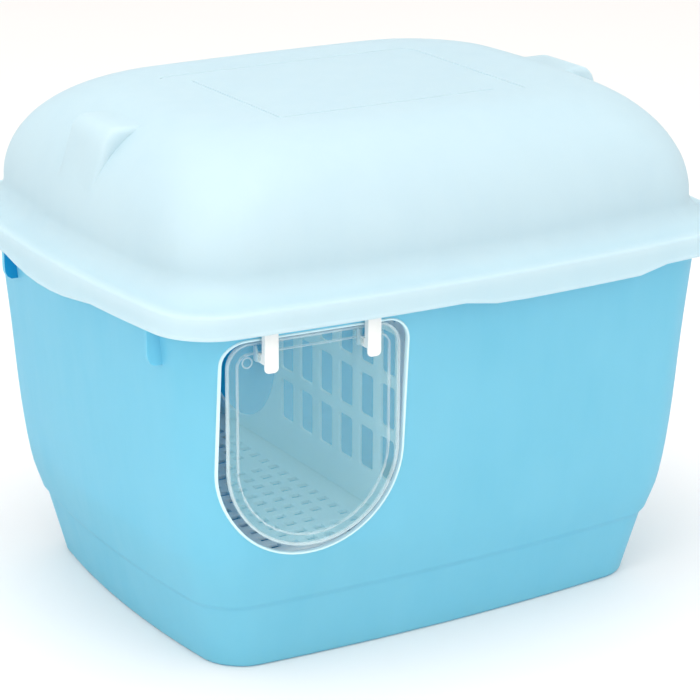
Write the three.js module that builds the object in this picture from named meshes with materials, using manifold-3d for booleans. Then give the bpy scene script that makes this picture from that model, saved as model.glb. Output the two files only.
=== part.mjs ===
// A large covered litter box: a deep blue tub with a doorway in its front wall, a pale lift-off hood,
// a slotted walkway along the left side, a lattice partition beside it, and a clear two-way door flap
// that hangs from two white hooks.
//
// Millimetres. +X is the box's right, +Y its back, +Z up. The front wall faces -Y.
// The origin is on the floor, under the middle of the base.

import * as THREE from "three";
import { mergeVertices } from "three/addons/utils/BufferGeometryUtils.js";
import Module from "manifold-3d";

const wasm = await Module();
wasm.setup();

// ---------------------------------------------------------------- driving dimensions

const WALL = 3;                      // moulded wall thickness
const GAP = 0.3;                     // between pieces that touch
const OVERLAP = 1;                   // how deep a feature is rooted, or a cutter passes, its body
const SIDE_SPANS = 3;                // spans along each half side of a bowed outline
const CORNER_SPANS = 6;              // spans round each of its corners
const QUARTER = 2 * SIDE_SPANS + CORNER_SPANS;
const STATIONS = 4 * QUARTER;
const LEAST_CORNER = 8;              // smallest plan corner radius of a drawn-in section

// Tub: height, half width, half depth of the outside of the wall. The wall steps out at the foot's top.
const TUB_WALL = [
  [4, 228.5, 179],
  [60, 241.5, 190.3],
  [65, 245, 193.4],
  [95, 253, 201],
  [150, 260, 207.5],
  [240, 267, 214],
  [334, 275.5, 222],
];
const FOOT_TOP = 60;                 // height at which the wall steps out
const TUB_BASE_ROUND = 4;            // radius under the foot's edge
const TUB_CORNER = [34, 50];         // plan corner radius at the base and at the rim
const TUB_BOW_X = [13.7, 15.5];      // how far the side walls swell past their corners, base and rim
const TUB_BOW_Y = [10.9, 14];        // the same for the front and back walls
const RIM_TOP = 338;
const RIM_THICK = 3.5;
const RIM_LIP = 8;                   // depth of the rim's turned-down edge

// Hood
const SKIRT = { halfX: 300, halfY: 248.2, corner: 42.6, bowX: 19.6, bowY: 15.8 };
const SKIRT_BOTTOM = 321.3;
const SKIRT_TOP = 341;
const SKIRT_ROUND = 2.5;             // edge round between the skirt and the cove above it
const HOOD_TOP = 456.4;
const SHOULDER = 94;                 // radius from the hood's wall to its flat top
const HOOD_WALL_INSET = 29.8;        // from the skirt's face in to the hood's wall
const HOOD_WALL_CORNER = 46;         // plan corner radius of the hood's wall
const HOOD_TOP_CORNER = 80;          // and of the edge of its flat top
const HOOD_TOP_BOW = [12, 5];
const COVE_SPANS = 3;
const SHOULDER_SPANS = 8;
const HOLLOW_BELOW = 20;             // how far the hollow is drawn on below the skirt
const RIM_PLAY = 4;                  // between the skirt's inside and the tub's rim
const LEDGE = 13;                    // width of the flat ledge by which the hood rests on the rim
const FRONT_TAB = { from: -6, to: 168, ramp: 11, drop: 5.5 };
const SIDE_TAB = { middle: -10, half: 80, drop: 7.5 };
const FACE_SHARE = 0.8;              // beyond this share of a half size a place is on that face
const GRIP = { top: 448, foot: 392, inner: 190, outer: 250, lean: 15, half: 34, chamfer: 6 };
const GRIP_ROOT = { rise: 10, inset: 10, sink: 8 };   // its hidden underside, within the shoulder

// Doorway, flap and hooks are set square to the front wall's chord there, which is turned by DOOR_TURN.
// In that frame u runs along the wall, "out" is the distance from the origin towards the front.
const DOOR_TURN = THREE.MathUtils.degToRad(-3.2);
const DOOR_U = -138.5;
const DOORWAY = { half: 83.2, bottom: 110, top: 308, corner: 20 };
const DOORWAY_BEAD = { width: 2, proud: 1 };
const DOOR_CUT = { from: 170, depth: 80 };     // reach of the cuts through the front wall
const FLAP = { half: 79.2, bottom: 119.5, top: 304.5, corner: 20, back: 213.5, thick: 2 };
const FLAP_RIM = { width: 3, proud: 1 };
const FLAP_BEAD = { inset: 9, width: 1.6, proud: 0.7 };
const HINGE = { out: 221.5, z: 293, pin: 2, bore: 2.35, eyeWall: 1.5 };
const EAR = { thick: 2, wall: 1.2, play: 0.5, top: 302.5 };
const HOOK = { spacing: 93, half: 6.2, bottom: 282, top: 333.8, back: 229.5, thick: 2.5, round: 4 };
const CHEEK = { thick: 2.5, back: 226 };
const HOOK_TONGUE = { half: 5, z: 322, thick: 4, barb: 332, barbThick: 3, play: 0.5 };
const DOOR_ARC_SPANS = 20;
const DOOR_CORNER_SPANS = 4;
const LEAST_DOOR_CORNER = 2;
const ROD_SIDES = 16;

// Gussets under the rim on the left and right walls
const GUSSET = { ys: [-152, 125.5], proud: 7.5, thick: 5, bottom: 281, root: 6 };

// Walkway
const WALK_TOP = 111;
const WALK_THICK = 3;
const WALK_PLAY = 1.5;               // between the plate's edge and the tub's wall
const WALK_EDGE_X = -53;
const SLOT = { alongX: 10, alongY: 8, pitch: 17.6, lastX: -83, firstY: -194, margin: 4.5 };
const SLOT_COLUMNS = 10;
const SLOT_ROWS = 23;
const LEG = { size: 12, columns: [1, 6], rows: [3, 11, 19] };

// Partition
const SCREEN_FACE_X = -57;           // its face on the walkway's side
const SCREEN_TOP = 333;
const SCREEN_CORNER = 12;
const SCREEN_KNEE = 150;             // below this its edges follow the steeper part of the wall
const SCREEN_PLAY = 0.5;             // beyond the walkway's play
const LATTICE = { width: 22, height: 38, round: 3, pitchY: 34.5, pitchZ: 48.3, firstY: -180.8, firstZ: 144.5 };
const LATTICE_COLUMNS = 6;
const LATTICE_ROWS = 4;
const INNER_DOOR = { y: 101, half: 76, bottom: 122, top: 300, corner: 18 };

// ---------------------------------------------------------------- materials

const plastic = (color, roughness) => new THREE.MeshStandardMaterial({ color, roughness, metalness: 0 });

// ---------------------------------------------------------------- geometry helpers

// A closed geometry as a manifold solid, turned the right way out.
function solid(geometry) {
  geometry.deleteAttribute("normal");
  geometry.deleteAttribute("uv");
  const merged = mergeVertices(geometry, 1e-4);
  const corners = Array.from(merged.index.array);
  const faces = [];
  for (let i = 0; i < corners.length; i += 3) {
    const [a, b, c] = corners.slice(i, i + 3);
    if (a !== b && b !== c && c !== a) {
      faces.push(a, b, c);
    }
  }
  const place = merged.attributes.position;
  const points = faces.map((index) => new THREE.Vector3().fromBufferAttribute(place, index));
  let volume = 0;
  for (let i = 0; i < points.length; i += 3) {
    volume += points[i].dot(points[i + 1].clone().cross(points[i + 2]));
  }
  const triVerts = new Uint32Array(volume > 0 ? faces : faces.reverse());
  return new wasm.Manifold(new wasm.Mesh({ numProp: 3, vertProperties: place.array, triVerts }));
}

// A manifold solid as a geometry for a mesh.
function geometryOf(body) {
  const { vertProperties, triVerts } = body.getMesh();
  const geometry = new THREE.BufferGeometry();
  geometry.setAttribute("position", new THREE.BufferAttribute(vertProperties, 3));
  geometry.setIndex(new THREE.BufferAttribute(triVerts, 1));
  geometry.computeVertexNormals();
  return geometry;
}

function part(name, body, material) {
  const mesh = new THREE.Mesh(geometryOf(body), material);
  mesh.name = name;
  return mesh;
}

// One point of a rounded rectangle whose sides are bowed outwards, counted round from the +X side.
function outlinePoint(station, { halfX, halfY, corner, bowX, bowY }) {
  if (halfX === 0) {
    return [0, 0];
  }
  const quadrant = Math.floor(station / QUARTER) % 4;
  const step = quadrant % 2 === 0 ? station % QUARTER : QUARTER - (station % QUARTER);
  let x = halfX;
  let y = halfY;
  if (step < SIDE_SPANS) {
    y = (halfY - corner) * (step / SIDE_SPANS);
  } else if (step <= SIDE_SPANS + CORNER_SPANS) {
    const angle = ((step - SIDE_SPANS) / CORNER_SPANS) * (Math.PI / 2);
    x = halfX - corner + corner * Math.cos(angle);
    y = halfY - corner + corner * Math.sin(angle);
  } else {
    x = (halfX - corner) * ((QUARTER - step) / SIDE_SPANS);
  }
  const bowedX = x * (1 - (bowX / halfX) * (y / halfY) ** 2);
  const bowedY = y * (1 - (bowY / halfY) * (x / halfX) ** 2);
  const signX = quadrant === 1 || quadrant === 2 ? -1 : 1;
  const signY = quadrant >= 2 ? -1 : 1;
  return [signX * bowedX, signY * bowedY];
}

// A closed body through a stack of sections that starts and ends on the axis.
function loft(sections) {
  const profile = sections.map((section) => new THREE.Vector2(section.halfX, section.z));
  const geometry = new THREE.LatheGeometry(profile, STATIONS);
  const place = geometry.attributes.position;
  for (let station = 0; station <= STATIONS; station += 1) {
    sections.forEach((section, level) => {
      const [x, y] = outlinePoint(station % STATIONS, section);
      const drop = section.drop ? section.drop(x, y) : 0;
      place.setXYZ(station * sections.length + level, x, y, section.z - drop);
    });
  }
  return solid(geometry);
}

const pole = (z) => ({ halfX: 0, halfY: 0, z });

// A solid through a stack of sections with a flat end on each.
const capped = (sections) => loft([pole(sections[0].z), ...sections, pole(sections.at(-1).z)]);

const inset = (section, by, z = section.z) => ({
  ...section,
  halfX: section.halfX - by,
  halfY: section.halfY - by,
  corner: Math.max(section.corner - by, LEAST_CORNER),
  z,
});

function lerpTable(table, z) {
  const upper = Math.max(1, table.findIndex((row) => row[0] >= z));
  const [low, high] = [table[upper - 1], table[upper]];
  const share = (z - low[0]) / (high[0] - low[0]);
  return low.map((value, i) => THREE.MathUtils.lerp(value, high[i], share));
}

// A straight bar with a given outline, pushed along its own Z and then placed by a matrix.
function bar(shape, depth, matrix) {
  const geometry = new THREE.ExtrudeGeometry(shape, { depth, bevelEnabled: false, curveSegments: 12 });
  geometry.applyMatrix4(matrix);
  return solid(geometry);
}

function box(low, high, matrix = new THREE.Matrix4()) {
  const size = high.map((value, i) => value - low[i]);
  const geometry = new THREE.BoxGeometry(...size);
  geometry.translate(...high.map((value, i) => (value + low[i]) / 2));
  geometry.applyMatrix4(matrix);
  return solid(geometry);
}

function polygon(points) {
  return new THREE.Shape(points.map(([x, y]) => new THREE.Vector2(x, y)));
}

// A doorway outline: a half circle at the bottom, straight sides, and rounded top corners.
function doorPoints(middle, { half, bottom, top, corner }, by = 0) {
  const radius = half - by;
  const round = Math.max(corner - by, LEAST_DOOR_CORNER);
  const centreZ = bottom + half;
  const points = [];
  for (let i = 0; i <= DOOR_ARC_SPANS; i += 1) {
    const angle = Math.PI + (i / DOOR_ARC_SPANS) * Math.PI;
    points.push([middle + radius * Math.cos(angle), centreZ + radius * Math.sin(angle)]);
  }
  for (const side of [1, -1]) {
    for (let i = 0; i <= DOOR_CORNER_SPANS; i += 1) {
      const step = side === 1 ? i : DOOR_CORNER_SPANS - i;
      const angle = (step / DOOR_CORNER_SPANS) * (Math.PI / 2);
      points.push([
        middle + side * (radius - round + round * Math.cos(angle)),
        top - by - round + round * Math.sin(angle),
      ]);
    }
  }
  return points;
}

function rectanglePoints(x, y, width, height) {
  return [[x, y], [x + width, y], [x + width, y + height], [x, y + height]];
}

// The frame of the doorway: local x is u, local y is height, local z points out through the doorway.
const doorTurn = new THREE.Matrix4().makeRotationZ(DOOR_TURN);
const upright = new THREE.Matrix4().makeBasis(
  new THREE.Vector3(1, 0, 0),
  new THREE.Vector3(0, 0, 1),
  new THREE.Vector3(0, -1, 0),
);
const atOut = (out) => upright.clone().setPosition(0, -out, 0);

// ---------------------------------------------------------------- tub

function tubSection(z, by = 0) {
  const [, halfX, halfY] = lerpTable(TUB_WALL, z);
  const up = z / RIM_TOP;
  return inset({
    halfX,
    halfY,
    corner: THREE.MathUtils.lerp(...TUB_CORNER, up),
    bowX: THREE.MathUtils.lerp(...TUB_BOW_X, up),
    bowY: THREE.MathUtils.lerp(...TUB_BOW_Y, up),
    z,
  }, by);
}

function makeTub() {
  const levels = TUB_WALL.map(([z]) => z);
  const rimUnder = RIM_TOP - RIM_THICK;
  const rimEdge = inset(SKIRT, WALL + RIM_PLAY);
  const wallTop = { ...tubSection(levels.at(-1)), z: rimUnder };
  const inside = levels.filter((z) => z > FOOT_TOP).reverse();
  let body = loft([
    pole(0),
    { ...tubSection(levels[0], TUB_BASE_ROUND), z: 0 },
    { ...tubSection(levels[0], TUB_BASE_ROUND * 0.3), z: TUB_BASE_ROUND * 0.3 },
    ...levels.map((z) => tubSection(z)),
    wallTop,
    { ...inset(rimEdge, WALL), z: rimUnder },
    { ...inset(rimEdge, WALL), z: RIM_TOP - RIM_LIP },
    { ...rimEdge, z: RIM_TOP - RIM_LIP },
    { ...rimEdge, z: RIM_TOP },
    { ...inset(wallTop, WALL), z: RIM_TOP },
    ...inside.map((z) => tubSection(z, WALL)),
    { ...tubSection(levels[0], WALL + TUB_BASE_ROUND), z: WALL },
    pole(WALL),
  ]);

  // Gussets carry the rim on the side walls.
  for (const side of [-1, 1]) {
    for (const y of GUSSET.ys) {
      const wallX = sideWallX(y, RIM_TOP - RIM_LIP);
      const root = wallX - GUSSET.root;
      const outer = wallX + GUSSET.proud;
      const gusset = polygon([
        [root, GUSSET.bottom],
        [outer - GUSSET.proud / 2, GUSSET.bottom],
        [outer, GUSSET.bottom + GUSSET.proud / 2],
        [outer, rimUnder + OVERLAP],
        [wallX - WALL / 2, rimUnder + OVERLAP],
      ]);
      const across = new THREE.Matrix4().makeBasis(
        new THREE.Vector3(side, 0, 0),
        new THREE.Vector3(0, 0, 1),
        new THREE.Vector3(0, -side, 0),
      ).setPosition(0, y + (side * GUSSET.thick) / 2, 0);
      body = body.add(bar(gusset, GUSSET.thick, across));
    }
  }

  // A raised bead runs round the doorway, then the doorway itself is cut.
  const throughWall = (shape) => {
    return bar(shape, DOOR_CUT.depth, doorTurn.clone().multiply(atOut(DOOR_CUT.from)));
  };
  const beadBlock = throughWall(polygon(doorPoints(DOOR_U, DOORWAY, -DOORWAY_BEAD.width)));
  const aboveFoot = levels.filter((z) => z > FOOT_TOP);
  const beadSkin = capped(aboveFoot.map((z) => tubSection(z, -DOORWAY_BEAD.proud)));
  const beadRoot = capped(aboveFoot.map((z) => tubSection(z, WALL / 2)));
  body = body.add(beadBlock.intersect(beadSkin).subtract(beadRoot));
  body = body.subtract(throughWall(polygon(doorPoints(DOOR_U, DOORWAY))));

  // Slots that the hooks' tongues push through.
  for (const side of [-1, 1]) {
    const u = DOOR_U + (side * HOOK.spacing) / 2;
    const { half, z, thick, play } = HOOK_TONGUE;
    const slot = rectanglePoints(u - half - play, z - play, 2 * (half + play), thick + 2 * play);
    body = body.subtract(throughWall(polygon(slot)));
  }
  return body;
}

// Distance of the side wall's outside from the middle plane at a place along it.
function sideWallX(y, z) {
  const { halfX, halfY, corner, bowX } = tubSection(z);
  const past = Math.max(0, Math.abs(y) - (halfY - corner));
  const flatX = halfX - corner + Math.sqrt(corner ** 2 - past ** 2);
  return flatX * (1 - (bowX / halfX) * (y / halfY) ** 2);
}

// ---------------------------------------------------------------- hood

const smooth = (value, from, to) => THREE.MathUtils.smoothstep(value, from, to);

// How far the skirt's lower edge hangs down at a place: a pull tab on the front, an arc on each side.
function skirtDrop(x, y) {
  if (y < -SKIRT.halfY * FACE_SHARE) {
    const { from, to, ramp, drop } = FRONT_TAB;
    return drop * smooth(x, from - ramp, from + ramp) * (1 - smooth(x, to - ramp, to + ramp));
  }
  const along = (y - SIDE_TAB.middle) / SIDE_TAB.half;
  const onSide = Math.abs(x) > SKIRT.halfX * FACE_SHARE && Math.abs(along) < 1;
  return onSide ? SIDE_TAB.drop * (1 - along ** 2) : 0;
}

// The hood's section at a share of the way from the top of its wall (0) to its flat top (1).
function shoulderSection(share, by) {
  const angle = (share * Math.PI) / 2;
  const inward = HOOD_WALL_INSET + SHOULDER * (1 - Math.cos(angle)) + by * Math.cos(angle);
  return {
    halfX: SKIRT.halfX - inward,
    halfY: SKIRT.halfY - inward,
    corner: THREE.MathUtils.lerp(HOOD_WALL_CORNER, HOOD_TOP_CORNER, share) - by * (1 - share),
    bowX: THREE.MathUtils.lerp(SKIRT.bowX, HOOD_TOP_BOW[0], share),
    bowY: THREE.MathUtils.lerp(SKIRT.bowY, HOOD_TOP_BOW[1], share),
    z: HOOD_TOP - SHOULDER + (SHOULDER - by) * Math.sin(angle),
  };
}

// The hollow curve between the skirt and the hood's wall, from the skirt (0) to the wall (1).
function coveSection(share, by) {
  const angle = (share * Math.PI) / 2;
  const wallZ = HOOD_TOP - SHOULDER;
  const across = HOOD_WALL_INSET - SKIRT_ROUND;
  const rise = wallZ - SKIRT_TOP;
  const inward = SKIRT_ROUND + across * Math.sin(angle) + by * Math.sin(angle);
  return {
    ...SKIRT,
    halfX: SKIRT.halfX - inward,
    halfY: SKIRT.halfY - inward,
    corner: THREE.MathUtils.lerp(SKIRT.corner, HOOD_WALL_CORNER, share) - by * share,
    z: SKIRT_TOP + rise * (1 - Math.cos(angle)) - by * Math.cos(angle),
  };
}

function hoodSkin(by, start) {
  const cove = [];
  for (let i = by ? 2 : 0; i <= COVE_SPANS; i += 1) {
    cove.push(coveSection(i / COVE_SPANS, by));
  }
  const shoulder = [];
  for (let i = 1; i <= SHOULDER_SPANS; i += 1) {
    shoulder.push(shoulderSection(i / SHOULDER_SPANS, by));
  }
  return loft([...start, ...cove, ...shoulder, pole(HOOD_TOP - by)]);
}

// A block grip for the fingers on the shoulder of each side.
function grip(side, by) {
  const outer = GRIP.outer - by;
  const profile = polygon([
    [GRIP.inner, GRIP.foot + GRIP_ROOT.rise],
    [GRIP.inner, GRIP.top - by],
    [outer - GRIP.chamfer, GRIP.top - by],
    [outer, GRIP.top - by - GRIP.chamfer],
    [outer + GRIP.lean, GRIP.foot],
    [outer - GRIP_ROOT.inset, GRIP.foot - GRIP_ROOT.sink],
  ]);
  const half = GRIP.half - by;
  const across = new THREE.Matrix4().makeBasis(
    new THREE.Vector3(side, 0, 0),
    new THREE.Vector3(0, 0, 1),
    new THREE.Vector3(0, -side, 0),
  ).setPosition(0, side * half, 0);
  return bar(profile, 2 * half, across);
}

function makeHood() {
  const skirtIn = inset(SKIRT, WALL);
  const ledgeZ = RIM_TOP + GAP;
  let outside = hoodSkin(0, [
    pole(SKIRT_BOTTOM),
    { ...SKIRT, z: SKIRT_BOTTOM, drop: skirtDrop },
    { ...SKIRT, z: SKIRT_TOP - SKIRT_ROUND },
  ]);
  let hollow = hoodSkin(WALL, [
    pole(SKIRT_BOTTOM - HOLLOW_BELOW),
    { ...skirtIn, z: SKIRT_BOTTOM - HOLLOW_BELOW },
    { ...skirtIn, z: ledgeZ },
    { ...inset(skirtIn, LEDGE), z: ledgeZ },
  ]);
  for (const side of [-1, 1]) {
    outside = outside.add(grip(side, 0));
    hollow = hollow.add(grip(side, WALL));
  }
  return outside.subtract(hollow);
}

// ---------------------------------------------------------------- walkway

function walkwayOutline(margin) {
  const section = tubSection(WALK_TOP - WALK_THICK, WALL + WALK_PLAY + margin);
  const edgeX = WALK_EDGE_X - margin;
  const edgeY = section.halfY * (1 - (section.bowY / section.halfY) * (edgeX / section.halfX) ** 2);
  const points = [[edgeX, edgeY]];
  for (let station = QUARTER; station <= 3 * QUARTER; station += 1) {
    const [x, y] = outlinePoint(station, section);
    if (x < edgeX - 1) {
      points.push([x, y]);
    }
  }
  points.push([edgeX, -edgeY]);
  return points;
}

function insideConvex(points, x, y) {
  return points.every(([ax, ay], i) => {
    const [bx, by] = points[(i + 1) % points.length];
    return (bx - ax) * (y - ay) - (by - ay) * (x - ax) > 0;
  });
}

function makeWalkway() {
  const room = walkwayOutline(SLOT.margin);
  const bottom = WALK_TOP - WALK_THICK;
  const legs = [];
  const slots = [];
  for (let column = 0; column < SLOT_COLUMNS; column += 1) {
    for (let row = 0; row < SLOT_ROWS; row += 1) {
      const x = SLOT.lastX - column * SLOT.pitch;
      const y = SLOT.firstY + row * SLOT.pitch;
      const hole = rectanglePoints(x - SLOT.alongX / 2, y - SLOT.alongY / 2, SLOT.alongX, SLOT.alongY);
      if (LEG.columns.includes(column) && LEG.rows.includes(row)) {
        legs.push([x, y]);
      } else if (hole.every(([px, py]) => insideConvex(room, px, py))) {
        slots.push(box([...hole[0], bottom - OVERLAP], [...hole[2], WALK_TOP + OVERLAP]));
      }
    }
  }
  const lift = new THREE.Matrix4().makeTranslation(0, 0, bottom);
  const plate = bar(polygon(walkwayOutline(0)), WALK_THICK, lift);
  const half = LEG.size / 2;
  const foot = WALL + GAP;
  const head = bottom + OVERLAP;
  const posts = legs.map(([x, y]) => box([x - half, y - half, foot], [x + half, y + half, head]));
  return wasm.Manifold.union([wasm.Manifold.difference([plate, ...slots]), ...posts]);
}

// ---------------------------------------------------------------- partition

function roundedRectangle(x, y, width, height, round) {
  const shape = new THREE.Path();
  shape.moveTo(x + round, y);
  const corners = [
    [x + width - round, y + round, -0.5],
    [x + width - round, y + height - round, 0],
    [x + round, y + height - round, 0.5],
    [x + round, y + round, 1],
  ];
  for (const [cx, cy, start] of corners) {
    shape.absarc(cx, cy, round, start * Math.PI, (start + 0.5) * Math.PI, false);
  }
  return shape;
}

function makePartition() {
  const bottom = WALK_TOP + GAP;
  const halfAt = (z) => {
    const section = tubSection(z, WALL + WALK_PLAY);
    const bow = (section.bowY / section.halfY) * (SCREEN_FACE_X / section.halfX) ** 2;
    return section.halfY * (1 - bow) - SCREEN_PLAY;
  };
  const topHalf = halfAt(SCREEN_TOP) - SCREEN_PLAY;
  const outline = polygon([
    [-halfAt(bottom), bottom],
    [halfAt(bottom), bottom],
    [halfAt(SCREEN_KNEE), SCREEN_KNEE],
    [topHalf, SCREEN_TOP - SCREEN_CORNER],
    [topHalf - SCREEN_CORNER, SCREEN_TOP],
    [-topHalf + SCREEN_CORNER, SCREEN_TOP],
    [-topHalf, SCREEN_TOP - SCREEN_CORNER],
    [-halfAt(SCREEN_KNEE), SCREEN_KNEE],
  ]);
  for (let column = 0; column < LATTICE_COLUMNS; column += 1) {
    for (let row = 0; row < LATTICE_ROWS; row += 1) {
      const y = LATTICE.firstY + column * LATTICE.pitchY;
      const z = LATTICE.firstZ + row * LATTICE.pitchZ;
      outline.holes.push(roundedRectangle(y, z, LATTICE.width, LATTICE.height, LATTICE.round));
    }
  }
  outline.holes.push(polygon(doorPoints(INNER_DOOR.y, INNER_DOOR)));
  const alongY = new THREE.Matrix4().makeBasis(
    new THREE.Vector3(0, 1, 0),
    new THREE.Vector3(0, 0, 1),
    new THREE.Vector3(1, 0, 0),
  ).setPosition(SCREEN_FACE_X, 0, 0);
  const geometry = new THREE.ExtrudeGeometry(outline, { depth: WALL, bevelEnabled: false, curveSegments: 2 });
  geometry.applyMatrix4(alongY);
  return solid(geometry);
}

// ---------------------------------------------------------------- door flap and its hooks

// A frame between two doorway outlines, standing proud of both faces of the flap's sheet.
function flapBand(by, width, proud) {
  const ring = polygon(doorPoints(DOOR_U, FLAP, by));
  ring.holes.push(polygon(doorPoints(DOOR_U, FLAP, by + width)));
  return bar(ring, FLAP.thick + 2 * proud, atOut(FLAP.back - proud));
}

const hookCentres = [-1, 1].map((side) => DOOR_U + (side * HOOK.spacing) / 2);

// A round bar along the hinge's axis.
function rod(radius, from, to) {
  const geometry = new THREE.CylinderGeometry(radius, radius, to - from, ROD_SIDES);
  geometry.rotateZ(Math.PI / 2);
  geometry.translate((from + to) / 2, -HINGE.out, HINGE.z);
  return solid(geometry);
}

// The two ends of a slab on one side of a hook's middle, lowest first.
function slabEnds(u, side, from, to) {
  return side < 0 ? [u - to, u - from] : [u + from, u + to];
}

function makeFlap() {
  let body = bar(polygon(doorPoints(DOOR_U, FLAP)), FLAP.thick, atOut(FLAP.back));
  body = body.add(flapBand(0, FLAP_RIM.width, FLAP_RIM.proud));
  body = body.add(flapBand(FLAP_BEAD.inset, FLAP_BEAD.width, FLAP_BEAD.proud));
  const face = FLAP.back + FLAP.thick;
  const earHalf = HINGE.pin + EAR.wall;
  const inner = HOOK.half + EAR.play;
  for (const u of hookCentres) {
    for (const side of [-1, 1]) {
      const [from, to] = slabEnds(u, side, inner, inner + EAR.thick);
      body = body.add(box(
        [from, -(HINGE.out + earHalf), HINGE.z - earHalf],
        [to, -(face - OVERLAP), EAR.top],
      ));
    }
    body = body.add(rod(HINGE.pin, u - inner - EAR.thick / 2, u + inner + EAR.thick / 2));
  }
  return body;
}

function makeHook(u) {
  const front = HOOK.back + HOOK.thick;
  const round = HOOK.round;
  const face = new THREE.Shape();
  face.moveTo(u - HOOK.half, HOOK.top);
  face.lineTo(u - HOOK.half, HOOK.bottom + round);
  face.absarc(u - HOOK.half + round, HOOK.bottom + round, round, Math.PI, 1.5 * Math.PI, false);
  face.absarc(u + HOOK.half - round, HOOK.bottom + round, round, 1.5 * Math.PI, 2 * Math.PI, false);
  face.lineTo(u + HOOK.half, HOOK.top);
  let body = bar(face, HOOK.thick, atOut(HOOK.back));

  // A cheek down each side, with an eye below the doorway's top edge that holds the flap's pin.
  const eye = HINGE.bore + HINGE.eyeWall;
  for (const side of [-1, 1]) {
    const [from, to] = slabEnds(u, side, HOOK.half - CHEEK.thick, HOOK.half);
    body = body.add(rod(eye, from, to));
    body = body.add(box([from, -(front - OVERLAP), HINGE.z - eye], [to, -HINGE.out, HINGE.z + eye]));
    body = body.add(box([from, -(front - OVERLAP), HINGE.z - eye], [to, -CHEEK.back, HOOK.top]));
  }
  body = body.subtract(rod(HINGE.bore, u - HOOK.half - OVERLAP, u + HOOK.half + OVERLAP));

  // A tongue through the wall with an upturned barb behind it.
  const { half, z, thick, barb, barbThick } = HOOK_TONGUE;
  const behind = FLAP.back;
  body = body.add(box([u - half, -(HOOK.back + OVERLAP), z], [u + half, -behind, z + thick]));
  return body.add(box([u - half, -(behind + barbThick), z], [u + half, -behind, barb]));
}

// ---------------------------------------------------------------- the box

const group = new THREE.Group();
group.add(part("tub", makeTub(), plastic(0x78cfe8, 0.45)));
group.add(part("hood", makeHood(), plastic(0xd6f0f4, 0.5)));
group.add(part("walkway_floor", makeWalkway(), plastic(0xcfe9ec, 0.5)));
group.add(part("partition_screen", makePartition(), plastic(0xd3ebee, 0.5)));

const door = new THREE.Group();
door.rotation.z = DOOR_TURN;
door.add(part("door_flap", makeFlap(), plastic(0xc4dde4, 0.2)));
hookCentres.forEach((u, i) => {
  door.add(part(i === 0 ? "door_hook_left" : "door_hook_right", makeHook(u), plastic(0xf2f4f2, 0.4)));
});
group.add(door);

export default group;
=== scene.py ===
# A covered litter box in moulded polypropylene: sky blue tub, pale aqua hood, a slotted walkway and a
# lattice partition inside, and a clear door flap on two white hooks. Every piece is drawn in metres
# where it stands; plans are given in millimetres.
import math

import bmesh
import bpy
from mathutils import Matrix, Vector


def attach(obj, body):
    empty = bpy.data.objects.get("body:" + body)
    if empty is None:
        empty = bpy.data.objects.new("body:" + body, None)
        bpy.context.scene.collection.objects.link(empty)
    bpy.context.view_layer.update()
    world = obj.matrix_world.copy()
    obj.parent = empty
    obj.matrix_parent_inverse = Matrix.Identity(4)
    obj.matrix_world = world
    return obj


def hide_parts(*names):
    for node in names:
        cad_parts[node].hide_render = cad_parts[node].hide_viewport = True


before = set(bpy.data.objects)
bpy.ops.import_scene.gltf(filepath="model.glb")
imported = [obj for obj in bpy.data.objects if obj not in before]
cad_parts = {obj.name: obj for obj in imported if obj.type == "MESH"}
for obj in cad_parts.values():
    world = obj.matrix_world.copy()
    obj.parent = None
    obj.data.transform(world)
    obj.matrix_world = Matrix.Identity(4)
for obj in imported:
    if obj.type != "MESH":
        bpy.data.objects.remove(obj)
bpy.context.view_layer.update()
MM = 0.001

# ---------------------------------------------------------------- camera

EYE = (-1.12694, -1.88268, 0.94729)
EYE_RIGHT = (0.857195, -0.514971, 0.004641)
EYE_UP = (0.161581, 0.277494, 0.947042)
EYE_BACK = (-0.488987, -0.81105, 0.321076)
LENS = 129.9                         # on a sensor 36 mm wide

bpy.ops.object.camera_add(location=EYE)
camera = bpy.context.object
camera.name = "camera"
camera.rotation_euler = Matrix((EYE_RIGHT, EYE_UP, EYE_BACK)).transposed().to_euler()
camera.data.sensor_width = 36
camera.data.lens = LENS
camera.data.clip_start = 0.1
camera.data.clip_end = 50
bpy.context.scene.camera = camera

# ---------------------------------------------------------------- plans, in millimetres

WALL = 3                             # moulded wall
SIDE_SPANS = 8                       # spans along half a bowed side
CORNER_SPANS = 10                    # spans round a corner
LEAST_CORNER = 5                     # smallest corner radius of a drawn-in outline

# Tub wall: height, half width, half depth. It steps out at the top of its foot.
TUB_WALL = [(4, 228.5, 179), (60, 241.5, 190.3), (65, 245, 193.4), (95, 253, 201),
            (150, 260, 207.5), (240, 267, 214), (334, 275.5, 222)]
FOOT_TOP = 65                        # above this the wall is one smooth curve
WALL_TOP = 331                       # where the wall meets the rim
TUB_CORNER = (34, 50)                # plan corner radius at the base and at the rim
TUB_BOW_X = (13.7, 15.5)             # how far the side walls swell past their corners
TUB_BOW_Y = (10.9, 14)               # the same for the front and back walls
RIM_TOP = 338
RIM_INSET = 7                        # of the rim's edge from the skirt's face
BASE_ROUND = 4                       # under the foot
FLOOR_ROUND = 14                     # between the wall's inside and the tub's floor
GUSSET_YS = (-152, 125.5)
GUSSET_THICK = 5
GUSSET_SECTION = [(-6, 281), (1, 281), (5, 283.5), (7, 288), (7.5, 293), (7.5, 335.5), (-1.5, 335.5)]

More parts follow.
